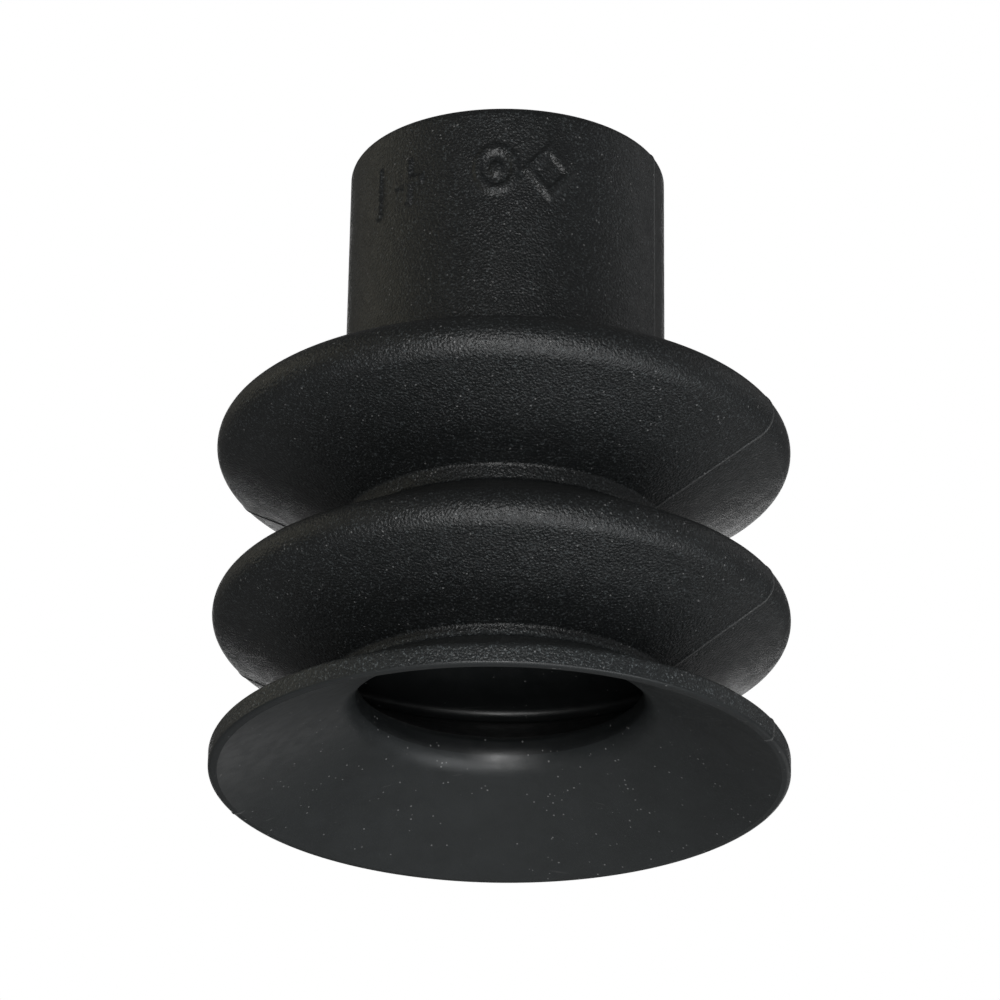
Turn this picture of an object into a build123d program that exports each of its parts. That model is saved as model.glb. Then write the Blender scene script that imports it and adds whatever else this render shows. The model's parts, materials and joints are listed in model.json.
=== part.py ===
"""Round vacuum suction cup with two and a half bellows and a female threaded insert.

The cup stands on its mouth: the origin is the centre of the mouth plane and +Z runs up
the cup's axis to the collar. Lengths are in millimetres.

The rubber is one moulding on the real cup. It is cut here where it flexes: stiff rings
(collar, folds, necks, lip) with a thin flexible flank between each two of them. Every
ring and flank is a window cut out of the same half section and turned about the axis.
"""

import os
from math import asin, atan2, hypot, tan

from build123d import *

# Overall size
LIP_RADIUS = 16.1
HEIGHT = 37.1

# Collar
COLLAR_TOP_RADIUS = 8.93
COLLAR_FOOT_RADIUS = 9.03
COLLAR_FOOT_Z = 23.2
COLLAR_EDGE_FILLET = 0.6
COLLAR_PASSAGE_RADIUS = 5.2

# Folds: outer radius, height and rounding of each convolution
FOLD_RADIUS = 16.12
UPPER_FOLD_Z = 19.63
UPPER_FOLD_ROUNDING = 1.46
LOWER_FOLD_Z = 9.37
LOWER_FOLD_ROUNDING = 1.37

# Necks: the narrow rings between the folds
MIDDLE_NECK_RADIUS = 9.1
MIDDLE_NECK_TOP_Z = 14.91
MIDDLE_NECK_FOOT_Z = 13.97
LIP_NECK_RADIUS = 9.9
LIP_NECK_TOP_Z = 4.94
LIP_NECK_FOOT_Z = 4.3
NECK_FILLET = 0.25

# Lip
RIM_HEIGHT = 1.18
RIM_TOP_FILLET = 0.4
RIM_FOOT_FILLET = 0.25
SEALING_LAND = 0.5
THROAT_RADIUS = 7.95
THROAT_EDGE_Z = 4.07
THROAT_ROUNDING = 1.8

# Rubber walls
WALL = 1.6
CREASE_FILLET = 0.5

# Radii of the seams between the stiff rings and the flexible flanks
COLLAR_SEAM_RADIUS = 9.4
MIDDLE_NECK_SEAM_RADIUS = 10.0
LIP_NECK_SEAM_RADIUS = 10.8
FOLD_SEAM_RADIUS = 13.4
LIP_SEAM_RADIUS = 14.6
OUTSIDE_RADIUS = 17.0

# Threaded insert, G1/8 female
THREAD_MINOR_RADIUS = 4.283
THREAD_MAJOR_RADIUS = 4.864
THREAD_LENGTH = 7.5
INSERT_RADIUS = 6.0
INSERT_RECESS = 0.3
INSERT_LENGTH = 12.0
BARB_RADIUS = 7.3
BARB_HEIGHT = 1.8
BARB_DEPTH = 4.2
INSERT_PASSAGE_RADIUS = 3.4
INSERT_FOOT_CHAMFER = 0.4

# Filter and its snap ring, seated in the foot of the insert
SCREEN_RADIUS = 4.6
SCREEN_THICKNESS = 0.4
SCREEN_HOLE_RADIUS = 0.3
SCREEN_HOLE_PITCH = 0.95
SCREEN_HOLE_REACH = 3.2
SEAT_DEPTH = 1.7
SEAT_CLEARANCE = 0.05
RING_WIRE_RADIUS = 0.3
RING_GAP_ANGLE = 40.0


def tangent_slope(r, z, fold_z, rounding):
    """Slope of the outer flank line from (r, z) that touches a fold's rounding."""
    centre_r = FOLD_RADIUS - rounding
    reach = hypot(centre_r - r, fold_z - z)
    direction = atan2(fold_z - z, centre_r - r)
    side = 1 if z > fold_z else -1
    return tan(direction + side * asin(rounding / reach))


def meeting_point(r_a, z_a, slope_a, r_b, z_b, slope_b):
    """Where two straight flank lines of the section meet."""
    r = (z_b - z_a + slope_a * r_a - slope_b * r_b) / (slope_a - slope_b)
    return (r, z_a + slope_a * (r - r_a))


def inner_start(z, slope, side):
    """Height at the neck or foot radius of the inner line that runs one wall away."""
    return z + side * WALL * hypot(1, slope)


def corner(sketch, point):
    """The vertex of a section sketch nearest to a point."""
    return sketch.vertices().sort_by_distance(Vector(*point))[0]


def keep_window(r_low, r_high, z_low, z_high):
    """Cut the open section down to a window of radii and heights."""
    with Locations(((r_low + r_high) / 2, (z_low + z_high) / 2)):
        Rectangle(r_high - r_low, z_high - z_low, mode=Mode.INTERSECT)


# Slopes of the four outer flank lines
upper_top_slope = tangent_slope(
    COLLAR_FOOT_RADIUS, COLLAR_FOOT_Z, UPPER_FOLD_Z, UPPER_FOLD_ROUNDING
)
upper_under_slope = tangent_slope(
    MIDDLE_NECK_RADIUS, MIDDLE_NECK_TOP_Z, UPPER_FOLD_Z, UPPER_FOLD_ROUNDING
)
lower_top_slope = tangent_slope(
    MIDDLE_NECK_RADIUS, MIDDLE_NECK_FOOT_Z, LOWER_FOLD_Z, LOWER_FOLD_ROUNDING
)
lower_under_slope = tangent_slope(
    LIP_NECK_RADIUS, LIP_NECK_TOP_Z, LOWER_FOLD_Z, LOWER_FOLD_ROUNDING
)

# Inner flank lines: the same slopes, one wall inside
upper_top_inner_z = inner_start(COLLAR_FOOT_Z, upper_top_slope, -1)
upper_under_inner_z = inner_start(MIDDLE_NECK_TOP_Z, upper_under_slope, 1)
lower_top_inner_z = inner_start(MIDDLE_NECK_FOOT_Z, lower_top_slope, -1)
lower_under_inner_z = inner_start(LIP_NECK_TOP_Z, lower_under_slope, 1)

# Sharp corners of the section, rounded afterwards
collar_top = (COLLAR_TOP_RADIUS, HEIGHT)
upper_fold_tip = meeting_point(
    COLLAR_FOOT_RADIUS, COLLAR_FOOT_Z, upper_top_slope,
    MIDDLE_NECK_RADIUS, MIDDLE_NECK_TOP_Z, upper_under_slope,
)
lower_fold_tip = meeting_point(
    MIDDLE_NECK_RADIUS, MIDDLE_NECK_FOOT_Z, lower_top_slope,
    LIP_NECK_RADIUS, LIP_NECK_TOP_Z, lower_under_slope,
)
upper_crease = meeting_point(
    COLLAR_FOOT_RADIUS, upper_top_inner_z, upper_top_slope,
    MIDDLE_NECK_RADIUS, upper_under_inner_z, upper_under_slope,
)
lower_crease = meeting_point(
    MIDDLE_NECK_RADIUS, lower_top_inner_z, lower_top_slope,
    LIP_NECK_RADIUS, lower_under_inner_z, lower_under_slope,
)
neck_bore_radius = MIDDLE_NECK_RADIUS - WALL
passage_foot_z = upper_top_inner_z + upper_top_slope * (COLLAR_PASSAGE_RADIUS - COLLAR_FOOT_RADIUS)
middle_bore_top_z = upper_under_inner_z - upper_under_slope * WALL
middle_bore_foot_z = lower_top_inner_z - lower_top_slope * WALL
throat_top_z = lower_under_inner_z + lower_under_slope * (THROAT_RADIUS - LIP_NECK_RADIUS)

# Heights of the insert, measured from its recessed top
insert_top_z = HEIGHT - INSERT_RECESS
insert_foot_z = insert_top_z - INSERT_LENGTH
barb_top_z = insert_top_z - BARB_DEPTH
barb_foot_z = barb_top_z - BARB_HEIGHT
seat_roof_z = insert_foot_z + SEAT_DEPTH
ring_groove_z = seat_roof_z - SCREEN_THICKNESS - RING_WIRE_RADIUS
middle_neck_z = (MIDDLE_NECK_TOP_Z + MIDDLE_NECK_FOOT_Z) / 2
lip_neck_z = (LIP_NECK_TOP_Z + LIP_NECK_FOOT_Z) / 2

# Half section of the whole rubber moulding
with BuildSketch(Plane.XZ) as rubber_section:
    with BuildLine():
        Polyline(
            (LIP_RADIUS, 0),
            (LIP_RADIUS, RIM_HEIGHT),
            (LIP_NECK_RADIUS, LIP_NECK_FOOT_Z),
            (LIP_NECK_RADIUS, LIP_NECK_TOP_Z),
            lower_fold_tip,
            (MIDDLE_NECK_RADIUS, MIDDLE_NECK_FOOT_Z),
            (MIDDLE_NECK_RADIUS, MIDDLE_NECK_TOP_Z),
            upper_fold_tip,
            (COLLAR_FOOT_RADIUS, COLLAR_FOOT_Z),
            collar_top,
            (INSERT_RADIUS, HEIGHT),
            (INSERT_RADIUS, barb_top_z),
            (BARB_RADIUS, barb_top_z),
            (INSERT_RADIUS, barb_foot_z),
            (INSERT_RADIUS, insert_foot_z),
            (COLLAR_PASSAGE_RADIUS, insert_foot_z),
            (COLLAR_PASSAGE_RADIUS, passage_foot_z),
            upper_crease,
            (neck_bore_radius, middle_bore_top_z),
            (neck_bore_radius, middle_bore_foot_z),
            lower_crease,
            (THROAT_RADIUS, throat_top_z),
            (THROAT_RADIUS, THROAT_EDGE_Z),
            (LIP_RADIUS - SEALING_LAND, 0),
            close=True,
        )
    make_face()
    fillet(corner(rubber_section, upper_fold_tip), UPPER_FOLD_ROUNDING)
    fillet(corner(rubber_section, lower_fold_tip), LOWER_FOLD_ROUNDING)
    fillet(corner(rubber_section, collar_top), COLLAR_EDGE_FILLET)
    fillet(corner(rubber_section, (THROAT_RADIUS, THROAT_EDGE_Z)), THROAT_ROUNDING)
    fillet(corner(rubber_section, (LIP_RADIUS, 0)), RIM_FOOT_FILLET)
    fillet(corner(rubber_section, (LIP_RADIUS, RIM_HEIGHT)), RIM_TOP_FILLET)
    for neck_corner in (
        (LIP_NECK_RADIUS, LIP_NECK_FOOT_Z),
        (LIP_NECK_RADIUS, LIP_NECK_TOP_Z),
        (MIDDLE_NECK_RADIUS, MIDDLE_NECK_FOOT_Z),
        (MIDDLE_NECK_RADIUS, MIDDLE_NECK_TOP_Z),
    ):
        fillet(corner(rubber_section, neck_corner), NECK_FILLET)
    for crease in (
        upper_crease,
        lower_crease,
        (neck_bore_radius, middle_bore_top_z),
        (neck_bore_radius, middle_bore_foot_z),
        (THROAT_RADIUS, throat_top_z),
        (COLLAR_PASSAGE_RADIUS, passage_foot_z),
    ):
        fillet(corner(rubber_section, crease), CREASE_FILLET)

# Collar: grips the insert and carries the top of the upper convolution
with BuildPart() as collar:
    with BuildSketch(Plane.XZ):
        add(rubber_section.sketch_local)
        keep_window(0, COLLAR_SEAM_RADIUS, UPPER_FOLD_Z, HEIGHT)
    revolve(axis=Axis.Z)

# Upper convolution: top flank, fold, under flank
with BuildPart() as upper_top_flank:
    with BuildSketch(Plane.XZ):
        add(rubber_section.sketch_local)
        keep_window(COLLAR_SEAM_RADIUS, FOLD_SEAM_RADIUS, UPPER_FOLD_Z, HEIGHT)
    revolve(axis=Axis.Z)

with BuildPart() as upper_fold:
    with BuildSketch(Plane.XZ):
        add(rubber_section.sketch_local)
        keep_window(FOLD_SEAM_RADIUS, OUTSIDE_RADIUS, middle_neck_z, HEIGHT)
    revolve(axis=Axis.Z)

with BuildPart() as upper_under_flank:
    with BuildSketch(Plane.XZ):
        add(rubber_section.sketch_local)
        keep_window(MIDDLE_NECK_SEAM_RADIUS, FOLD_SEAM_RADIUS, middle_neck_z, UPPER_FOLD_Z)
    revolve(axis=Axis.Z)

with BuildPart() as middle_neck:
    with BuildSketch(Plane.XZ):
        add(rubber_section.sketch_local)
        keep_window(0, MIDDLE_NECK_SEAM_RADIUS, LOWER_FOLD_Z, UPPER_FOLD_Z)
    revolve(axis=Axis.Z)

# Lower convolution: top flank, fold, under flank
with BuildPart() as lower_top_flank:
    with BuildSketch(Plane.XZ):
        add(rubber_section.sketch_local)
        keep_window(MIDDLE_NECK_SEAM_RADIUS, FOLD_SEAM_RADIUS, LOWER_FOLD_Z, middle_neck_z)
    revolve(axis=Axis.Z)

with BuildPart() as lower_fold:
    with BuildSketch(Plane.XZ):
        add(rubber_section.sketch_local)
        keep_window(FOLD_SEAM_RADIUS, OUTSIDE_RADIUS, lip_neck_z, middle_neck_z)
    revolve(axis=Axis.Z)

with BuildPart() as lower_under_flank:
    with BuildSketch(Plane.XZ):
        add(rubber_section.sketch_local)
        keep_window(LIP_NECK_SEAM_RADIUS, FOLD_SEAM_RADIUS, lip_neck_z, LOWER_FOLD_Z)
    revolve(axis=Axis.Z)

with BuildPart() as lip_neck:
    with BuildSketch(Plane.XZ):
        add(rubber_section.sketch_local)
        keep_window(0, LIP_NECK_SEAM_RADIUS, 0, LOWER_FOLD_Z)
    revolve(axis=Axis.Z)

# Half convolution: the flexible skirt and the lip that seals on the work
with BuildPart() as lip_skirt:
    with BuildSketch(Plane.XZ):
        add(rubber_section.sketch_local)
        keep_window(LIP_NECK_SEAM_RADIUS, LIP_SEAM_RADIUS, 0, lip_neck_z)
    revolve(axis=Axis.Z)

with BuildPart() as sealing_lip:
    with BuildSketch(Plane.XZ):
        add(rubber_section.sketch_local)
        keep_window(LIP_SEAM_RADIUS, OUTSIDE_RADIUS, 0, lip_neck_z)
    revolve(axis=Axis.Z)

# Threaded insert: a turned bush held by its barb, with the filter seat in its foot
with BuildPart() as threaded_insert:
    with BuildSketch(Plane.XZ):
        with BuildLine():
            Polyline(
                (THREAD_MINOR_RADIUS, insert_top_z - THREAD_LENGTH),
                (THREAD_MINOR_RADIUS, insert_top_z),
                (INSERT_RADIUS, insert_top_z),
                (INSERT_RADIUS, barb_top_z),
                (BARB_RADIUS, barb_top_z),
                (INSERT_RADIUS, barb_foot_z),
                (INSERT_RADIUS, insert_foot_z),
                (SCREEN_RADIUS + SEAT_CLEARANCE, insert_foot_z),
                (SCREEN_RADIUS + SEAT_CLEARANCE, seat_roof_z),
                (INSERT_PASSAGE_RADIUS, seat_roof_z),
                (INSERT_PASSAGE_RADIUS, insert_top_z - THREAD_LENGTH),
                close=True,
            )
        make_face()
    revolve(axis=Axis.Z)
    mouth_edges = threaded_insert.edges().filter_by(GeomType.CIRCLE).group_by(Axis.Z)[-1]
    chamfer(mouth_edges.sort_by(SortBy.RADIUS)[0], THREAD_MAJOR_RADIUS - THREAD_MINOR_RADIUS)
    foot_edges = threaded_insert.edges().filter_by(GeomType.CIRCLE).group_by(Axis.Z)[0]
    chamfer(foot_edges.sort_by(SortBy.RADIUS)[-1], INSERT_FOOT_CHAMFER)
    with BuildSketch(Plane.XZ):
        with Locations((SCREEN_RADIUS + SEAT_CLEARANCE, ring_groove_z)):
            Circle(RING_WIRE_RADIUS)
    revolve(axis=Axis.Z, mode=Mode.SUBTRACT)

# Filter screen: a perforated disc that keeps dust out of the vacuum line
screen_hole_spots = [
    spot.position
    for spot in HexLocations(SCREEN_HOLE_PITCH / 2, 9, 9)
    if hypot(spot.position.X, spot.position.Y) <= SCREEN_HOLE_REACH
]
with BuildPart() as filter_screen:
    with BuildSketch(Plane.XY.offset(seat_roof_z - SCREEN_THICKNESS)):
        Circle(SCREEN_RADIUS)
        with Locations(*screen_hole_spots):
            Circle(SCREEN_HOLE_RADIUS, mode=Mode.SUBTRACT)
    extrude(amount=SCREEN_THICKNESS)

# Snap ring: a split wire ring, sprung into its groove under the screen
with BuildPart() as filter_snap_ring:
    with BuildSketch(Plane.XZ.rotated((0, 0, RING_GAP_ANGLE / 2))):
        with Locations((SCREEN_RADIUS + SEAT_CLEARANCE, ring_groove_z)):
            Circle(RING_WIRE_RADIUS)
    revolve(axis=Axis.Z, revolution_arc=360 - RING_GAP_ANGLE)

pieces = {
    "collar": collar,
    "upper_top_flank": upper_top_flank,
    "upper_fold": upper_fold,
    "upper_under_flank": upper_under_flank,
    "middle_neck": middle_neck,
    "lower_top_flank": lower_top_flank,
    "lower_fold": lower_fold,
    "lower_under_flank": lower_under_flank,
    "lip_neck": lip_neck,
    "lip_skirt": lip_skirt,
    "sealing_lip": sealing_lip,
    "threaded_insert": threaded_insert,
    "filter_screen": filter_screen,
    "filter_snap_ring": filter_snap_ring,
}
os.makedirs("parts", exist_ok=True)
for name, piece in pieces.items():
    piece.part.label = name
    export_step(piece.part, f"parts/{name}.step")
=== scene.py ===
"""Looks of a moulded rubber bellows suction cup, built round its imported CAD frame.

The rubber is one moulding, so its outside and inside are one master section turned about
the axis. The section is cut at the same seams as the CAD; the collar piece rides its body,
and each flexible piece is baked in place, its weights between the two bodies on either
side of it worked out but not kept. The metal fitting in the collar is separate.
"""
import json
import math

import bpy
import numpy as np
from mathutils import Matrix, Vector


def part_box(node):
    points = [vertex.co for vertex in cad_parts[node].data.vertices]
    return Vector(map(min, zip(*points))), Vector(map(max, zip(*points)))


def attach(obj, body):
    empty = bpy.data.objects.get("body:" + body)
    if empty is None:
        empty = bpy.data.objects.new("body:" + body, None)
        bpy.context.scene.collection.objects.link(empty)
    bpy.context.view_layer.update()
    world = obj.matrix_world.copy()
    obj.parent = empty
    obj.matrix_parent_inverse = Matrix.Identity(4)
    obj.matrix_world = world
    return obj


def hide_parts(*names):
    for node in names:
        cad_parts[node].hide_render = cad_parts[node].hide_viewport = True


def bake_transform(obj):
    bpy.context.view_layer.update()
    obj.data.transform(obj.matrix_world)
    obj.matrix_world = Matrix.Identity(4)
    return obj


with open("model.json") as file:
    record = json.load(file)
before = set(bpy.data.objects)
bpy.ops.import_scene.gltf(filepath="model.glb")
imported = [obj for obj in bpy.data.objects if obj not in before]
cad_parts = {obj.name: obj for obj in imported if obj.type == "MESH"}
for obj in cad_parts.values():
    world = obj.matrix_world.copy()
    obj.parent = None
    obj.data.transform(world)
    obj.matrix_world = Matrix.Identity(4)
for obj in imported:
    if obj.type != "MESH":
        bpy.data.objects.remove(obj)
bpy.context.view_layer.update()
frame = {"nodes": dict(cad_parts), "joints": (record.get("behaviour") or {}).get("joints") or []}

MM = 0.001


# ---------------------------------------------------------------- sizes, in millimetres

def span(node):
    """Lowest and highest corner of a CAD node, in millimetres."""
    low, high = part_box(node)
    return low / MM, high / MM


def joint_height(name):
    """Height of a hinge, in millimetres."""
    joint = next(j for j in frame["joints"] if j["name"] == name)
    return joint["pos_m"][2] / MM


LIP_RADIUS = span("sealing_lip")[1].x
HEIGHT = span("collar")[1].z
FOLD_RADIUS = span("upper_fold")[1].x
COLLAR_SEAM = span("collar")[1].x
MIDDLE_NECK_SEAM = span("middle_neck")[1].x
LIP_NECK_SEAM = span("lip_neck")[1].x
FOLD_SEAM = span("upper_top_flank")[1].x
LIP_SEAM = span("lip_skirt")[1].x
MIDDLE_NECK_Z = joint_height("tilt_about_y")
LIP_NECK_Z = joint_height("lip_neck_tilt_about_y")
INSERT_TOP = span("threaded_insert")[1].z
INSERT_FOOT = span("threaded_insert")[0].z
BARB_RADIUS = span("threaded_insert")[1].x

COLLAR_TOP_RADIUS = 8.93
COLLAR_FOOT_RADIUS = 9.03
COLLAR_FOOT_Z = 23.2
COLLAR_PASSAGE_RADIUS = 5.2
UPPER_FOLD_Z, UPPER_ROUNDING = 19.63, 1.46
LOWER_FOLD_Z, LOWER_ROUNDING = 9.37, 1.37
MIDDLE_NECK_RADIUS, MIDDLE_NECK_HALF = 9.1, 0.47
LIP_NECK_RADIUS, LIP_NECK_HALF = 9.9, 0.32
NECK_FILLET = 0.25
WALL = 1.6
CREASE_FILLET = 0.5
RIM_HEIGHT = 1.18
RIM_TOP_FILLET = 0.4
RIM_FOOT_FILLET = 0.25
LAND_INNER_RADIUS = 15.6
THROAT_RADIUS = 7.95
THROAT_EDGE_Z = 4.07
THROAT_ROUNDING = 1.8
BLEND_EASE = 0.15

INSERT_RADIUS = 6.0
BARB_TOP = INSERT_TOP - 4.2
BARB_FOOT = BARB_TOP - 1.8
THREAD_MINOR, THREAD_MAJOR = 4.283, 4.864
THREAD_PITCH = 0.907
THREAD_LENGTH = 7.5
INSERT_PASSAGE = 3.4
SEAT_RADIUS = 4.65
SEAT_DEPTH = 1.7
SCREEN_THICKNESS = 0.4
RING_WIRE = 0.3
INSERT_TOP_CHAMFER = 0.15
INSERT_FOOT_CHAMFER = 0.4
THREAD_RUN_OUT = 0.9
INSERT_COLUMNS, THREAD_ROWS = 240, 110

# The mould's parting line: azimuth from the front (-Y), towards +X
PARTING_AZIMUTHS = (math.radians(68), math.radians(-112))
PARTING_HEIGHT = 0.04
PARTING_HALF_WIDTH = 0.06

# The grained outside skin starts just above the smooth sealing land
GRAIN_START_Z = 0.1

# Raised marks on the collar
MARK_Z = 33.1
MARK_STRETCH = 1.2
MARK_HEIGHT = 0.15
MARK_HALF_STROKE = 0.22
MARK_AZIMUTHS = (math.radians(-66), math.radians(25))
MARK_COLUMN_STEP = math.radians(0.4)
# Where each mark sits round the collar, in millimetres from the front, and its half size
RING_AT, RING_RADIUS, DOT_RADIUS = -0.65, 1.05, 0.35
LOZENGE_AT, LOZENGE_HALF = 2.35, 0.85
CROSS_AT, CROSS_HALF_WIDTH, CROSS_HALF_HEIGHT = -6.0, 1.0, 1.15
BAR_AT, BAR_HALF_HEIGHT = -8.3, 1.3


# ---------------------------------------------------------------- master section

def tangent_slope(r, z, fold_z, rounding):
    """Slope of the flank line from (r, z) that touches a fold's rounding."""
    centre = FOLD_RADIUS - rounding
    reach = math.hypot(centre - r, fold_z - z)
    turn = math.asin(rounding / reach) * (1 if z > fold_z else -1)
    return math.tan(math.atan2(fold_z - z, centre - r) + turn)


def meeting(line_a, line_b):
    """Where two lines (r, z, slope) meet."""
    (ra, za, sa), (rb, zb, sb) = line_a, line_b
    r = (zb - za + sa * ra - sb * rb) / (sa - sb)
    return r, za + sa * (r - ra)


def inside(line, side):
    """The line one wall below (side -1) or above (side 1) a flank line."""
    r, z, slope = line
    return r, z + side * WALL * math.hypot(1, slope), slope


def height_on(line, r):
    return line[1] + line[2] * (r - line[0])


def flank(r, z, fold_z, rounding):
    return r, z, tangent_slope(r, z, fold_z, rounding)


UPPER_TOP = flank(COLLAR_FOOT_RADIUS, COLLAR_FOOT_Z, UPPER_FOLD_Z, UPPER_ROUNDING)
UPPER_UNDER = flank(MIDDLE_NECK_RADIUS, MIDDLE_NECK_Z + MIDDLE_NECK_HALF, UPPER_FOLD_Z, UPPER_ROUNDING)
LOWER_TOP = flank(MIDDLE_NECK_RADIUS, MIDDLE_NECK_Z - MIDDLE_NECK_HALF, LOWER_FOLD_Z, LOWER_ROUNDING)
LOWER_UNDER = flank(LIP_NECK_RADIUS, LIP_NECK_Z + LIP_NECK_HALF, LOWER_FOLD_Z, LOWER_ROUNDING)
SKIRT_TOP_Z = LIP_NECK_Z - LIP_NECK_HALF
SKIRT = (LIP_NECK_RADIUS, SKIRT_TOP_Z, (RIM_HEIGHT - SKIRT_TOP_Z) / (LIP_RADIUS - LIP_NECK_RADIUS))


def rounded_path(corners, straight_step, arc_step=math.radians(4)):
    """Points of a polyline whose corners (r, z, rounding) are rounded, at an even spacing."""
    path = [np.array(corners[0][:2])]
    for before, here, after in zip(corners, corners[1:], corners[2:]):
        p = np.array(here[:2])
        if not here[2]:
            path.append(p)
            continue
        to_before = np.array(before[:2]) - p
        to_after = np.array(after[:2]) - p
        to_before /= np.linalg.norm(to_before)
        to_after /= np.linalg.norm(to_after)
        half = math.acos(np.clip(to_before @ to_after, -1, 1)) / 2
        bisector = (to_before + to_after) / np.linalg.norm(to_before + to_after)
        centre = p + bisector * here[2] / math.sin(half)
        first = p + to_before * here[2] / math.tan(half) - centre
        last = p + to_after * here[2] / math.tan(half) - centre
        sweep = math.pi - 2 * half
        side = math.copysign(1, first[0] * last[1] - first[1] * last[0])
        for t in np.linspace(0, 1, max(3, math.ceil(sweep / arc_step)) + 1):
            c, s = math.cos(side * sweep * t), math.sin(side * sweep * t)
            path.append(centre + (c * first[0] - s * first[1], s * first[0] + c * first[1]))
    path.append(np.array(corners[-1][:2]))
    points = [path[0]]
    for a, b in zip(path, path[1:]):
        length = np.linalg.norm(b - a)
        if length < 1e-6:
            continue
        count = max(1, math.ceil(length / straight_step))
        points += [a + (b - a) * k / count for k in range(1, count + 1)]
    return np.array(points)


COLLAR_TOP_ROUNDING = 0.6
COLLAR_FOOT_FILLET = 0.3
OUTSIDE_STEP, INSIDE_STEP = 0.12, 0.3


def section_paths():
    """Outside of the section from the collar's top to the mouth, and the inside back down."""
    bore = MIDDLE_NECK_RADIUS - WALL
    passage_z = height_on(inside(UPPER_TOP, -1), COLLAR_PASSAGE_RADIUS)
    outside = [
        (INSERT_RADIUS, HEIGHT, 0),
        (COLLAR_TOP_RADIUS, HEIGHT, COLLAR_TOP_ROUNDING),
        (COLLAR_FOOT_RADIUS, COLLAR_FOOT_Z, COLLAR_FOOT_FILLET),
        (*meeting(UPPER_TOP, UPPER_UNDER), UPPER_ROUNDING),
        (MIDDLE_NECK_RADIUS, UPPER_UNDER[1], NECK_FILLET),
        (MIDDLE_NECK_RADIUS, LOWER_TOP[1], NECK_FILLET),
        (*meeting(LOWER_TOP, LOWER_UNDER), LOWER_ROUNDING),
        (LIP_NECK_RADIUS, LOWER_UNDER[1], NECK_FILLET),
        (LIP_NECK_RADIUS, SKIRT[1], NECK_FILLET),
        (LIP_RADIUS, RIM_HEIGHT, RIM_TOP_FILLET),
        (LIP_RADIUS, 0, RIM_FOOT_FILLET),
        (LAND_INNER_RADIUS, 0, 0),
    ]
    inner = [
        (INSERT_RADIUS, HEIGHT, 0),
        (INSERT_RADIUS, BARB_TOP, 0),
        (BARB_RADIUS, BARB_TOP, 0),
        (INSERT_RADIUS, BARB_FOOT, 0),
        (INSERT_RADIUS, INSERT_FOOT, 0),
        (COLLAR_PASSAGE_RADIUS, INSERT_FOOT, 0),
        (COLLAR_PASSAGE_RADIUS, passage_z, CREASE_FILLET),
        (*meeting(inside(UPPER_TOP, -1), inside(UPPER_UNDER, 1)), CREASE_FILLET),
        (bore, height_on(inside(UPPER_UNDER, 1), bore), CREASE_FILLET),
        (bore, height_on(inside(LOWER_TOP, -1), bore), CREASE_FILLET),
        (*meeting(inside(LOWER_TOP, -1), inside(LOWER_UNDER, 1)), CREASE_FILLET),
        (THROAT_RADIUS, height_on(inside(LOWER_UNDER, 1), THROAT_RADIUS), CREASE_FILLET),
        (THROAT_RADIUS, THROAT_EDGE_Z, THROAT_ROUNDING),
        (LAND_INNER_RADIUS, 0, 0),
    ]
    return rounded_path(outside, OUTSIDE_STEP), rounded_path(inner, INSIDE_STEP)


# Seams from the top down: ("r" or "z", value in millimetres)
SEAMS = [
    ("r", COLLAR_SEAM),
    ("z", UPPER_FOLD_Z),
    ("r", MIDDLE_NECK_SEAM),
    ("z", MIDDLE_NECK_Z),
    ("r", MIDDLE_NECK_SEAM),
    ("z", LOWER_FOLD_Z),
    ("r", LIP_NECK_SEAM),
    ("z", LIP_NECK_Z),
    ("r", LIP_NECK_SEAM),
]


def cut_at_seams(path, first_z):
    """Splits a path, top down, into the stretches between the seams; both ends of each are on a seam."""
    stretches, start, k = [], [path[0]], 0
    i = next(n for n in range(len(path)) if path[n][1] <= first_z)
    start = list(path[:i + 1])
    for kind, value in SEAMS:
        column = 0 if kind == "r" else 1
        while (path[i][column] - value) * (path[i + 1][column] - value) > 0 or \
                path[i][column] == path[i + 1][column] or \
                abs(path[i + 1][column] - value) < 1e-9:
            i += 1
            start.append(path[i])
        t = (value - path[i][column]) / (path[i + 1][column] - path[i][column])
        cut = path[i] + (path[i + 1] - path[i]) * t
        start.append(cut)
        stretches.append(np.array(start))
        start = [cut]
        i += 1
        start.append(path[i])
    stretches.append(np.array(start + list(path[i + 1:])))
    return [without_repeats(s) for s in stretches]


def without_repeats(points):
    keep = [points[0]]
    for p in points[1:]:
        if np.linalg.norm(p - keep[-1]) > 1e-4:
            keep.append(p)
    return np.array(keep)


# ---------------------------------------------------------------- surface detail in the mesh

EVEN_COLUMNS = 400
PARTING_COLUMNS = np.radians([-0.9, -0.6, -0.4, -0.25, -0.12, 0, 0.12, 0.25, 0.4, 0.6, 0.9])
PARTING_CLEARANCE = math.radians(1.1)


def azimuth_grid():
    """Azimuths of the columns: even all round, and close together at the parting lines."""
    even = np.linspace(-math.pi, math.pi, EVEN_COLUMNS, endpoint=False)
    angles = [a for a in even if all(abs(a - p) > PARTING_CLEARANCE for p in PARTING_AZIMUTHS)]
    for p in PARTING_AZIMUTHS:
        angles += list(p + PARTING_COLUMNS)
    return np.array(sorted(angles))


AZIMUTHS = azimuth_grid()


def marked_grid():
    """The same columns, but closer together across the collar's raised marks."""
    low, high = MARK_AZIMUTHS
    rest = AZIMUTHS[(AZIMUTHS < low) | (AZIMUTHS > high)]
    return np.sort(np.concatenate([rest, np.arange(low, high, MARK_COLUMN_STEP)]))


def parting_mask(r, azimuth):
    """1 on the mould's parting lines, falling to 0 at their edges."""
    mask = np.zeros(np.broadcast(r, azimuth).shape)
    for p in PARTING_AZIMUTHS:
        across = r * np.abs(azimuth - p)
        mask = np.maximum(mask, np.exp(-(across / PARTING_HALF_WIDTH) ** 2))
    return mask


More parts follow.
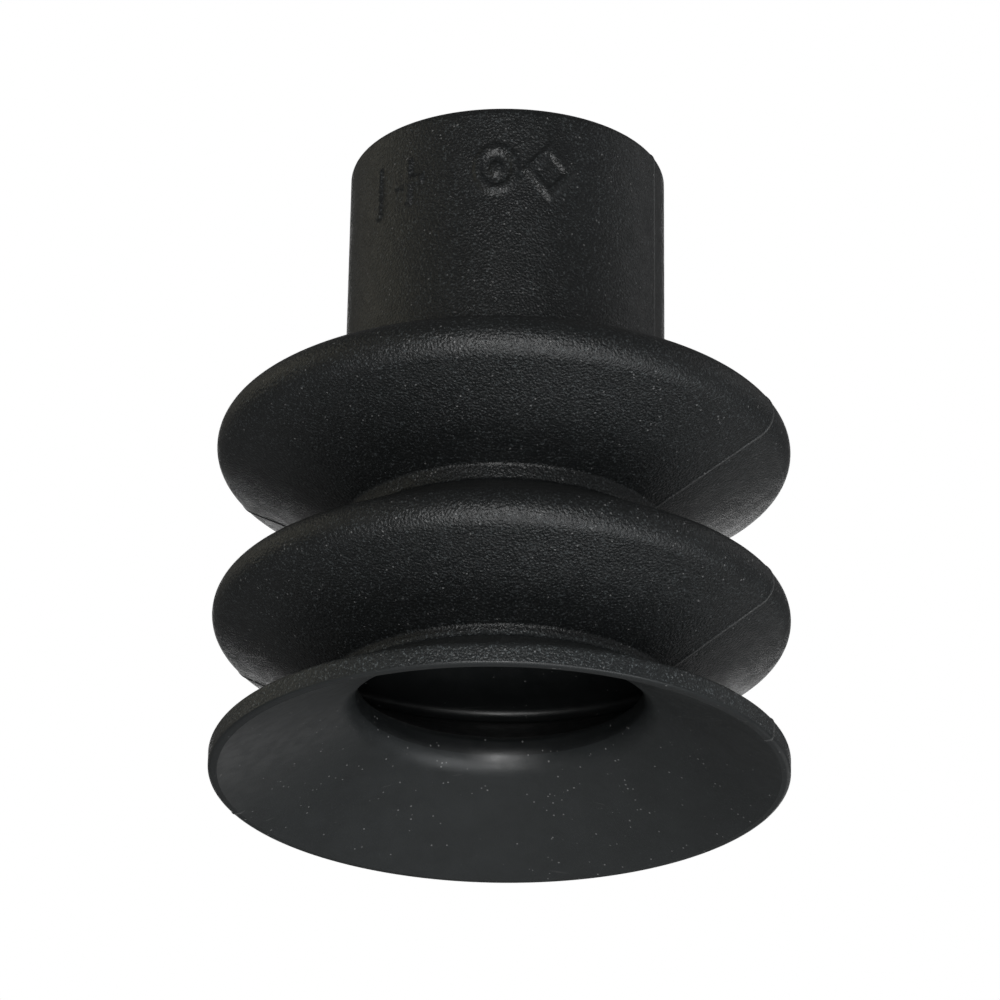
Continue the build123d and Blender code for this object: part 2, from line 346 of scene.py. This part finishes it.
def soft_step(distance, softness=0.12):
    """1 well inside a shape, 0 outside, from the distance outside its edge."""
    t = np.clip(0.5 - distance / (2 * softness), 0, 1)
    return t * t * (3 - 2 * t)


def bar(u, v, half_width, half_height, corner=0.12):
    """Distance outside a rounded bar."""
    du, dv = np.abs(u) - half_width + corner, np.abs(v) - half_height + corner
    return np.hypot(np.maximum(du, 0), np.maximum(dv, 0)) + np.minimum(np.maximum(du, dv), 0) - corner


def collar_marks(azimuth, z):
    """Raised generic mould marks: a ring with a dot, a lozenge, a cross and a bar."""
    around = COLLAR_TOP_RADIUS * azimuth
    v = (z - MARK_Z) / MARK_STRETCH
    ring = np.hypot(around - RING_AT, v)
    lozenge = (np.abs(around - LOZENGE_AT) + np.abs(v)) * math.sqrt(0.5)
    marks = [
        np.abs(ring - RING_RADIUS) - MARK_HALF_STROKE,
        ring - DOT_RADIUS,
        np.abs(lozenge - LOZENGE_HALF) - MARK_HALF_STROKE,
        bar(around - CROSS_AT, v, MARK_HALF_STROKE, CROSS_HALF_HEIGHT),
        bar(around - CROSS_AT, v, CROSS_HALF_WIDTH, MARK_HALF_STROKE),
        bar(around - BAR_AT, v, MARK_HALF_STROKE, BAR_HALF_HEIGHT),
    ]
    return MARK_HEIGHT * soft_step(np.minimum.reduce(marks))


# ---------------------------------------------------------------- turned meshes

def ease(t):
    """0 to 1, straight but for a soft start and end."""
    t = np.clip(t, 0, 1)
    peak = 1 / (1 - BLEND_EASE)
    start = peak * t * t / (2 * BLEND_EASE)
    end = 1 - peak * (1 - t) ** 2 / (2 * BLEND_EASE)
    return np.where(t < BLEND_EASE, start, np.where(t > 1 - BLEND_EASE, end, peak * (t - BLEND_EASE / 2)))


def add_attribute(mesh, name, kind, values):
    layer = mesh.attributes.new(name, kind, "POINT")
    layer.data.foreach_set("vector" if kind == "FLOAT_VECTOR" else "value",
                           np.asarray(values, np.float32).ravel())


def turned(name, loop, outside_count, creases, relief=None, azimuths=AZIMUTHS):
    """A closed mesh: a section loop turned about the axis.

    The first outside_count points of the loop are the outer surface, which carries the
    parting lines and the relief. creases are loop positions whose rings stay sharp.
    """
    count, columns = len(loop), len(azimuths)
    following, previous = np.roll(loop, -1, 0), np.roll(loop, 1, 0)
    along = following - previous
    along[0] = loop[1] - loop[0]
    along[outside_count - 1] = loop[outside_count - 1] - loop[outside_count - 2]
    normal = np.stack([-along[:, 1], along[:, 0]], 1)
    area = np.sum(loop[:, 0] * following[:, 1] - following[:, 0] * loop[:, 1])
    normal *= (-1 if area > 0 else 1) / np.linalg.norm(normal, axis=1)[:, None]
    r, z, a = loop[:, 0][:, None], loop[:, 1][:, None], azimuths[None, :]
    is_outside = (np.arange(count) < outside_count)[:, None]
    parting = parting_mask(r, a) * is_outside
    lift = PARTING_HEIGHT * parting
    if relief is not None:
        lift = lift + relief(a, z) * is_outside * (normal[:, 0][:, None] > 0.9)
    rr, zz = r + lift * normal[:, 0][:, None], z + lift * normal[:, 1][:, None]
    points = np.stack([rr * np.sin(a), -rr * np.cos(a), np.broadcast_to(zz, rr.shape)], -1)
    rest = np.stack([r * np.sin(a), -r * np.cos(a), np.broadcast_to(z, rr.shape)], -1)
    i, j = np.meshgrid(np.arange(count), np.arange(columns), indexing="ij")
    i2, j2 = (i + 1) % count, (j + 1) % columns
    quads = np.stack([i * columns + j, i * columns + j2, i2 * columns + j2, i2 * columns + j], -1)
    if area > 0:
        quads = quads[..., ::-1]
    mesh = bpy.data.meshes.new(name)
    mesh.from_pydata((points.reshape(-1, 3) * MM).tolist(), [], quads.reshape(-1, 4).tolist())
    add_attribute(mesh, "rest_mm", "FLOAT_VECTOR", rest.reshape(-1, 3))
    add_attribute(mesh, "parting", "FLOAT", parting)
    grained = is_outside * np.clip((z - GRAIN_START_Z) / GRAIN_START_Z, 0, 1)
    add_attribute(mesh, "grained", "FLOAT", np.broadcast_to(grained, rr.shape))
    mesh.shade_smooth()
    sharp = np.zeros(len(mesh.edges), bool)
    ends = np.zeros(len(mesh.edges) * 2, np.int32)
    mesh.edges.foreach_get("vertices", ends)
    rows = ends.reshape(-1, 2) // columns
    for crease in creases:
        sharp |= (rows[:, 0] == crease % count) & (rows[:, 1] == crease % count)
    mesh.attributes.new("sharp_edge", "BOOLEAN", "EDGE").data.foreach_set("value", sharp)
    piece = bpy.data.objects.new(name, mesh)
    bpy.context.scene.collection.objects.link(piece)
    return piece


def set_weights(piece, weight):
    """Works out a blended piece's weights, weight(r, z) in millimetres of the rest shape, but does not
    keep them.
    """
    rest = np.zeros(len(piece.data.vertices) * 3, np.float32)
    piece.data.attributes["rest_mm"].data.foreach_get("vector", rest)
    rest = rest.reshape(-1, 3)
    w = weight(np.hypot(rest[:, 0], rest[:, 1]), rest[:, 2]).astype(np.float32)


def outward(seam, end):
    """The weight rises from a seam radius out to the fold or lip."""
    return lambda r, z: ease((r - seam) / (end - seam))


def inward(seam, end):
    return lambda r, z: 1 - ease((r - seam) / (end - seam))


def downward(top, foot):
    return lambda r, z: ease((top - z) / (top - foot))


# Rubber pieces from the top down: name, bodies, weight, and the CAD nodes they stand for
RUBBER = [
    ("collar_sleeve", ("mounting_collar",), None, ("collar",), "rubber"),
    ("upper_fold_top", ("mounting_collar", "upper_fold"), outward(COLLAR_SEAM, FOLD_SEAM),
     ("upper_top_flank", "upper_fold"), "rubber"),
    ("upper_fold_under", ("upper_fold", "upper_under_flank"), inward(MIDDLE_NECK_SEAM, FOLD_SEAM),
     ("upper_under_flank",), "rubber"),
    ("middle_neck_upper", ("upper_under_flank", "middle_neck"),
     downward(height_on(UPPER_UNDER, MIDDLE_NECK_SEAM), MIDDLE_NECK_Z), ("middle_neck",), "rubber"),
    ("middle_neck_lower", ("middle_neck", "lower_top_flank"),
     downward(MIDDLE_NECK_Z, height_on(LOWER_TOP, MIDDLE_NECK_SEAM)), ("middle_neck",), "rubber"),
    ("lower_fold_top", ("lower_top_flank", "lower_fold"), outward(MIDDLE_NECK_SEAM, FOLD_SEAM),
     ("lower_top_flank", "lower_fold"), "rubber"),
    ("lower_fold_under", ("lower_fold", "lower_under_flank"), inward(LIP_NECK_SEAM, FOLD_SEAM),
     ("lower_under_flank",), "rubber"),
    ("lip_neck_upper", ("lower_under_flank", "lip_neck"),
     downward(height_on(LOWER_UNDER, LIP_NECK_SEAM), LIP_NECK_Z), ("lip_neck",), "rubber"),
    ("lip_neck_lower", ("lip_neck", "lip_skirt"),
     downward(LIP_NECK_Z, height_on(SKIRT, LIP_NECK_SEAM)), ("lip_neck",), "lip_rubber"),
    ("lip_cone", ("lip_skirt", "sealing_lip"), outward(LIP_NECK_SEAM, LIP_SEAM),
     ("lip_skirt", "sealing_lip"), "lip_rubber"),
]


def build_rubber(materials):
    outside, inner = section_paths()
    outer_parts = cut_at_seams(outside, COLLAR_FOOT_Z)
    inner_parts = cut_at_seams(inner, INSERT_FOOT)
    for k, (name, bodies, weight, nodes, slot) in enumerate(RUBBER):
        outer, back = outer_parts[k], inner_parts[k][::-1]
        if k == 0:
            back = back[:-1]
        if k == len(RUBBER) - 1:
            back = back[1:]
        loop = np.concatenate([outer, back])
        creases = [0, len(outer) - 1, len(outer), len(loop) - 1]
        if name == "collar_sleeve":
            piece = turned(name, loop, len(outer), creases, collar_marks, marked_grid())
        else:
            piece = turned(name, loop, len(outer), creases)
        if weight is None:
            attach(piece, bodies[0])
        else:
            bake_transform(piece)
            set_weights(piece, weight)
        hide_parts(*nodes)
        piece.data.materials.append(materials[slot])


# ---------------------------------------------------------------- metal fitting

def build_insert(material):
    """Turned bush with a barb outside and a helical thread inside."""
    columns = np.linspace(-math.pi, math.pi, INSERT_COLUMNS, endpoint=False)
    foot = INSERT_TOP - THREAD_LENGTH
    rows = np.linspace(foot, INSERT_TOP, THREAD_ROWS)
    seat_roof = INSERT_FOOT + SEAT_DEPTH
    groove = seat_roof - SCREEN_THICKNESS - RING_WIRE
    arc = [math.radians(d) for d in range(-80, 81, 20)]
    fixed = [
        (INSERT_PASSAGE, foot), (INSERT_PASSAGE, seat_roof), (SEAT_RADIUS, seat_roof),
        *[(SEAT_RADIUS + RING_WIRE * math.cos(t), groove - RING_WIRE * math.sin(t)) for t in arc],
        (SEAT_RADIUS, INSERT_FOOT),
        (INSERT_RADIUS - INSERT_FOOT_CHAMFER, INSERT_FOOT),
        (INSERT_RADIUS, INSERT_FOOT + INSERT_FOOT_CHAMFER),
        (INSERT_RADIUS, BARB_FOOT), (BARB_RADIUS, BARB_TOP), (INSERT_RADIUS, BARB_TOP),
        (INSERT_RADIUS, INSERT_TOP - INSERT_TOP_CHAMFER),
        (INSERT_RADIUS - INSERT_TOP_CHAMFER, INSERT_TOP),
    ]
    a = columns[None, :]
    phase = (rows[:, None] / THREAD_PITCH - a / (2 * math.pi)) % 1
    depth = np.clip(1.5 * (1 - np.abs(2 * phase - 1)) - 0.25, 0, 1)
    run_out = np.clip((rows[:, None] - foot) / THREAD_RUN_OUT, 0, 1)
    thread = THREAD_MINOR + (THREAD_MAJOR - THREAD_MINOR) * depth * run_out
    chamfer = THREAD_MAJOR + 0.08 - (INSERT_TOP - rows[:, None])
    thread = np.maximum(thread, chamfer)
    radius = np.concatenate([thread[::-1], [[p[0]] * len(columns) for p in fixed]])
    height = np.concatenate([rows[::-1], [p[1] for p in fixed]])
    points = np.stack([radius * np.sin(a), -radius * np.cos(a),
                       np.broadcast_to(height[:, None], radius.shape)], -1)
    count, n = radius.shape
    i, j = np.meshgrid(np.arange(count), np.arange(n), indexing="ij")
    i2, j2 = (i + 1) % count, (j + 1) % n
    quads = np.stack([i * n + j, i * n + j2, i2 * n + j2, i2 * n + j], -1)
    mesh = bpy.data.meshes.new("threaded_bush")
    mesh.from_pydata((points.reshape(-1, 3) * MM).tolist(), [], quads.reshape(-1, 4).tolist())
    add_attribute(mesh, "rest_mm", "FLOAT_VECTOR", points.reshape(-1, 3))
    mesh.shade_smooth()
    mesh.set_sharp_from_angle(angle=math.radians(28))
    piece = bpy.data.objects.new("threaded_bush", mesh)
    bpy.context.scene.collection.objects.link(piece)
    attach(piece, "mounting_collar")
    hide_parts("threaded_insert")
    mesh.materials.append(material)


def finish_cad_node(node, material):
    """Keeps a CAD node's own mesh and gives it a finished material."""
    piece = frame["nodes"][node]
    piece.data.materials.clear()
    piece.data.materials.append(material)


# ---------------------------------------------------------------- materials

class Graph:
    """A small helper for wiring a node material."""

    def __init__(self, name):
        self.material = bpy.data.materials.new(name)
        self.material.use_nodes = True
        self.tree = self.material.node_tree
        self.tree.nodes.clear()
        self.output = self.add("ShaderNodeOutputMaterial")
        self.shader = self.add("ShaderNodeBsdfPrincipled")
        self.wire(self.shader.outputs[0], self.output.inputs[0])

    def add(self, kind, **settings):
        node = self.tree.nodes.new(kind)
        for key, value in settings.items():
            setattr(node, key, value)
        return node

    def wire(self, source, target):
        self.tree.links.new(source, target)

    def feed(self, target, source):
        """Connects a socket, or sets a plain value."""
        if isinstance(source, bpy.types.NodeSocket):
            self.wire(source, target)
        else:
            target.default_value = source

    def attribute(self, name, output="Vector"):
        return self.add("ShaderNodeAttribute", attribute_name=name).outputs[output]

    def noise(self, place, scale, detail=3.0, roughness=0.5):
        node = self.add("ShaderNodeTexNoise")
        self.wire(place, node.inputs["Vector"])
        node.inputs["Scale"].default_value = scale
        node.inputs["Detail"].default_value = detail
        node.inputs["Roughness"].default_value = roughness
        return node.outputs["Fac"]

    def cells(self, place, scale, feature="SMOOTH_F1"):
        node = self.add("ShaderNodeTexVoronoi", feature=feature)
        self.wire(place, node.inputs["Vector"])
        node.inputs["Scale"].default_value = scale
        return node.outputs["Distance"]

    def math(self, operation, a, b=0.0, clamp=False):
        node = self.add("ShaderNodeMath", operation=operation, use_clamp=clamp)
        self.feed(node.inputs[0], a)
        self.feed(node.inputs[1], b)
        return node.outputs[0]

    def ramp(self, source, low, high, to_low=0.0, to_high=1.0):
        node = self.add("ShaderNodeMapRange", interpolation_type="SMOOTHSTEP")
        self.feed(node.inputs["Value"], source)
        for key, value in (("From Min", low), ("From Max", high), ("To Min", to_low), ("To Max", to_high)):
            node.inputs[key].default_value = value
        return node.outputs["Result"]

    def mix(self, share, a, b):
        node = self.add("ShaderNodeMix", data_type="RGBA")
        self.feed(node.inputs["Factor"], share)
        self.feed(node.inputs[6], a)
        self.feed(node.inputs[7], b)
        return node.outputs[2]

    def bump(self, height, distance, strength=1.0):
        """distance is the relief's height in millimetres."""
        node = self.add("ShaderNodeBump")
        node.inputs["Strength"].default_value = strength
        node.inputs["Distance"].default_value = distance * MM
        self.wire(height, node.inputs["Height"])
        return node.outputs["Normal"]

    def set(self, **inputs):
        for key, value in inputs.items():
            self.feed(self.shader.inputs[key.replace("_", " ")], value)


RUBBER_TINT = (0.88, 1.0, 1.04)


def grey(level, tint=(1, 1, 1)):
    return (*(level * t for t in tint), 1)


def dust(g, place, scale, size, share):
    """Sparse specks of dust: 1 on a speck."""
    speck = g.ramp(g.cells(place, scale, "F1"), size, size * 0.6)
    patch = g.ramp(g.noise(place, scale * 0.37, 1.0), 1 - share, 1 - share + 0.05)
    return g.math("MULTIPLY", speck, patch)


def scratches(g, place):
    """Faint straight scuffs: 1 on a scuff."""
    turned_place = g.add("ShaderNodeMapping")
    g.wire(place, turned_place.inputs["Vector"])
    turned_place.inputs["Rotation"].default_value = (0, 0, math.radians(38))
    turned_place.inputs["Scale"].default_value = (0.22, 5.0, 1.0)
    streak = g.ramp(g.noise(turned_place.outputs[0], 1.0, 2.0), 0.70, 0.76)
    return g.math("MULTIPLY", streak, g.ramp(g.noise(place, 0.3, 1.0), 0.52, 0.6))


# Rubber: noise scales are features per millimetre, reliefs are millimetres, greys are linear
GRAIN_SCALE, GRAIN_NOISE_SCALE, GRAIN_NOISE_SHARE = 7.5, 9.0, 0.8
FINE_SCALE, FINE_SHARE = 7.0, 0.1
RUBBER_RELIEF = 0.046
POWDER_SCALE, POWDER_LIFT = 7.0, 6.5
INSIDE_ROUGHNESS, OUTSIDE_ROUGHNESS, ROUGHNESS_SPREAD = 0.38, 0.41, 0.05
PARTING_GREY, PARTING_SHARE = 0.13, 0.6
DUST_SCALE, DUST_SIZE, DUST_SPREAD, DUST_GREY, DUST_SHARE = 2.6, 0.17, 0.46, 0.3, 0.45
SCUFF_GREY, SCUFF_SHARE = 0.12, 0.25


def rubber_material(name, level):
    """Moulded rubber: matt and spark-grained outside, satin with scuffs and dust inside."""
    g = Graph(name)
    place = g.attribute("rest_mm")
    grained = g.attribute("grained", "Fac")
    smooth = g.math("SUBTRACT", 1.0, grained)
    grain_noise = g.math("MULTIPLY", g.noise(place, GRAIN_NOISE_SCALE, 2.0, 0.6), GRAIN_NOISE_SHARE)
    grain = g.math("ADD", g.cells(place, GRAIN_SCALE), grain_noise)
    fine = g.math("MULTIPLY", g.noise(place, FINE_SCALE, 4.0, 0.6), FINE_SHARE)
    relief = g.math("ADD", g.math("MULTIPLY", grain, grained), fine)
    blotch = g.ramp(g.noise(place, 0.35, 4.0, 0.6), 0.35, 0.65)
    base = g.mix(blotch, grey(level * 0.92, RUBBER_TINT), grey(level * 1.08, RUBBER_TINT))
    powder = g.math("MULTIPLY", g.ramp(g.noise(place, POWDER_SCALE, 2.0, 0.7), 0.54, 0.72), grained)
    powdery = g.mix(powder, base, grey(level * POWDER_LIFT, RUBBER_TINT))
    parting = g.math("MULTIPLY", g.attribute("parting", "Fac"), PARTING_SHARE)
    lined = g.mix(parting, powdery, grey(PARTING_GREY))
    specks = g.math("MULTIPLY", dust(g, place, DUST_SCALE, DUST_SIZE, DUST_SPREAD), DUST_SHARE)
    dusty = g.mix(specks, lined, grey(DUST_GREY))
    scuffs = g.math("MULTIPLY", g.math("MULTIPLY", scratches(g, place), smooth), SCUFF_SHARE)
    colour = g.mix(scuffs, dusty, grey(SCUFF_GREY))
    polish = g.ramp(g.noise(place, 1.1, 3.0), 0.3, 0.7, -ROUGHNESS_SPREAD, ROUGHNESS_SPREAD)
    roughness = g.math("ADD", polish, g.ramp(grained, 0, 1, INSIDE_ROUGHNESS, OUTSIDE_ROUGHNESS))
    g.set(Base_Color=colour, Roughness=roughness, Normal=g.bump(relief, RUBBER_RELIEF))
    return g.material


def metal_material(name, level, tint, roughness, place_scale, attribute=True):
    """Turned or drawn metal with fine tool marks and a little staining."""
    g = Graph(name)
    if attribute:
        place = g.attribute("rest_mm")
    else:
        coordinates = g.add("ShaderNodeTexCoord").outputs["Object"]
        scaled = g.add("ShaderNodeVectorMath", operation="SCALE")
        g.wire(coordinates, scaled.inputs[0])
        scaled.inputs["Scale"].default_value = 1 / MM
        place = scaled.outputs[0]
    split = g.add("ShaderNodeSeparateXYZ")
    g.wire(place, split.inputs[0])
    squared = g.math("ADD", g.math("MULTIPLY", split.outputs[0], split.outputs[0]),
                     g.math("MULTIPLY", split.outputs[1], split.outputs[1]))
    joined = g.add("ShaderNodeCombineXYZ")
    g.wire(g.math("SQRT", squared), joined.inputs[0])
    g.wire(split.outputs[2], joined.inputs[2])
    marks = g.noise(joined.outputs[0], place_scale, 3.0, 0.6)
    stain = g.noise(place, 0.8, 4.0)
    colour = g.mix(g.ramp(stain, 0.35, 0.7), grey(level, tint), grey(level * 0.72, tint))
    rough = g.ramp(stain, 0.3, 0.7, roughness, roughness + 0.14)
    g.set(Base_Color=colour, Roughness=rough, Metallic=1.0, Normal=g.bump(marks, 0.01, 0.5))
    return g.material


# ---------------------------------------------------------------- studio

# The camera looks up at the cup from in front and below, through a long lens
CAMERA_TARGET = Vector((-0.178, 0, 16.802)) * MM
CAMERA_DISTANCE = 429.76 * MM
CAMERA_ELEVATION = math.radians(-24.311)
CAMERA_ROLL = math.radians(-0.828)
CAMERA_LENS = 275.78
FLOOR_Z = -0.62
FLOOR_GLOW = 0.7
SURROUND_LIGHT = 0.107

# Softboxes: name, azimuth and elevation in degrees, distance and size in metres, watts, colour
WHITE, WARM, COOL, COLD = (1, 1, 1), (1, 0.94, 0.72), (0.95, 0.98, 1), (0.92, 0.97, 1)
LIGHTS = [
    ("camera_fill", 0, -28, 0.8, 0.25, 1.4, WHITE),
    ("front_key", -1, -14, 0.8, 0.2, 1.85, WHITE),
    ("front_below", -3, -52, 0.6, 0.15, 0.45, WHITE),
    ("right_below", 50, -50, 0.7, 0.4, 1.4, COOL),
    ("left_back", -110, 30, 0.7, 0.4, 0.24, WARM),
    ("left_key", -70, 15, 0.7, 0.35, 0.2, WARM),
    ("right_back", 110, 30, 0.7, 0.4, 0.2, WHITE),
    ("right_key", 70, 10, 0.7, 0.4, 0.1, WHITE),
    ("right_back_low", 155, -15, 0.7, 0.4, 0.13, WHITE),
    ("back_fill", 180, 15, 0.8, 0.4, 0.9, WHITE),
    ("right_low", 95, -20, 0.7, 0.4, 0.15, COLD),
]


def build_camera():
    e = CAMERA_ELEVATION
    forward = Vector((0, math.cos(e), -math.sin(e)))
    right = Vector((1, 0, 0))
    up = right.cross(forward)
    c, s = math.cos(CAMERA_ROLL), math.sin(CAMERA_ROLL)
    across, upright = right * c - up * s, right * s + up * c
    camera = bpy.data.objects.new("camera", bpy.data.cameras.new("camera"))
    bpy.context.scene.collection.objects.link(camera)
    turn = Matrix((across, upright, -forward)).transposed().to_4x4()
    camera.matrix_world = Matrix.Translation(CAMERA_TARGET - forward * CAMERA_DISTANCE) @ turn
    camera.data.lens = CAMERA_LENS
    camera.data.sensor_width = 36
    camera.data.clip_start, camera.data.clip_end = 0.01, 20
    bpy.context.scene.camera = camera


def soft_light(name, azimuth, elevation, distance, size, power, colour):
    """A square area light aimed at the cup from an azimuth and elevation in degrees."""
    a, e = math.radians(azimuth), math.radians(elevation)
    away = Vector((math.sin(a) * math.cos(e), -math.cos(a) * math.cos(e), math.sin(e)))
    light = bpy.data.lights.new(name, "AREA")
    light.size = size
    light.energy = power
    light.color = colour
    lamp = bpy.data.objects.new(name, light)
    bpy.context.scene.collection.objects.link(lamp)
    lamp.location = CAMERA_TARGET + away * distance
    lamp.rotation_euler = (-away).to_track_quat("-Z", "Y").to_euler()
    lamp.visible_camera = False


def build_studio():
    bpy.ops.mesh.primitive_plane_add(size=12, location=(0, 0, FLOOR_Z))
    floor = bpy.context.object
    floor.name = "studio_floor"
    g = Graph("pale_floor")
    to_camera = g.add("ShaderNodeLightPath").outputs["Is Camera Ray"]
    g.set(Base_Color=grey(0.85), Roughness=0.9, Emission_Color=grey(1.0),
          Emission_Strength=g.math("MULTIPLY", to_camera, FLOOR_GLOW))
    floor.data.materials.append(g.material)
    for light in LIGHTS:
        soft_light(*light)
    world = bpy.data.worlds.new("white_surround")
    bpy.context.scene.world = world
    world.use_nodes = True
    nodes, links = world.node_tree.nodes, world.node_tree.links
    nodes.clear()
    seen = nodes.new("ShaderNodeBackground")
    seen.inputs["Strength"].default_value = 1.0
    cast = nodes.new("ShaderNodeBackground")
    cast.inputs["Strength"].default_value = SURROUND_LIGHT
    path = nodes.new("ShaderNodeLightPath")
    choose = nodes.new("ShaderNodeMixShader")
    out = nodes.new("ShaderNodeOutputWorld")
    seen.inputs["Color"].default_value = cast.inputs["Color"].default_value = (1, 1, 1, 1)
    links.new(path.outputs["Is Camera Ray"], choose.inputs[0])
    links.new(cast.outputs[0], choose.inputs[1])
    links.new(seen.outputs[0], choose.inputs[2])
    links.new(choose.outputs[0], out.inputs[0])
    bpy.context.scene.view_settings.view_transform = "Standard"


materials = {
    "rubber": rubber_material("moulded_rubber", 0.0095),
    "lip_rubber": rubber_material("satin_lip_rubber", 0.019),
}
build_rubber(materials)
build_insert(metal_material("nickel_plate", 0.62, (1.0, 0.97, 0.9), 0.22, 14))
etched_steel = metal_material("etched_steel", 0.5, (1, 1, 1), 0.35, 6, False)
finish_cad_node("filter_screen", etched_steel)
spring_wire = metal_material("spring_wire", 0.4, (1, 1, 1), 0.3, 6, False)
finish_cad_node("filter_snap_ring", spring_wire)
build_camera()
build_studio()
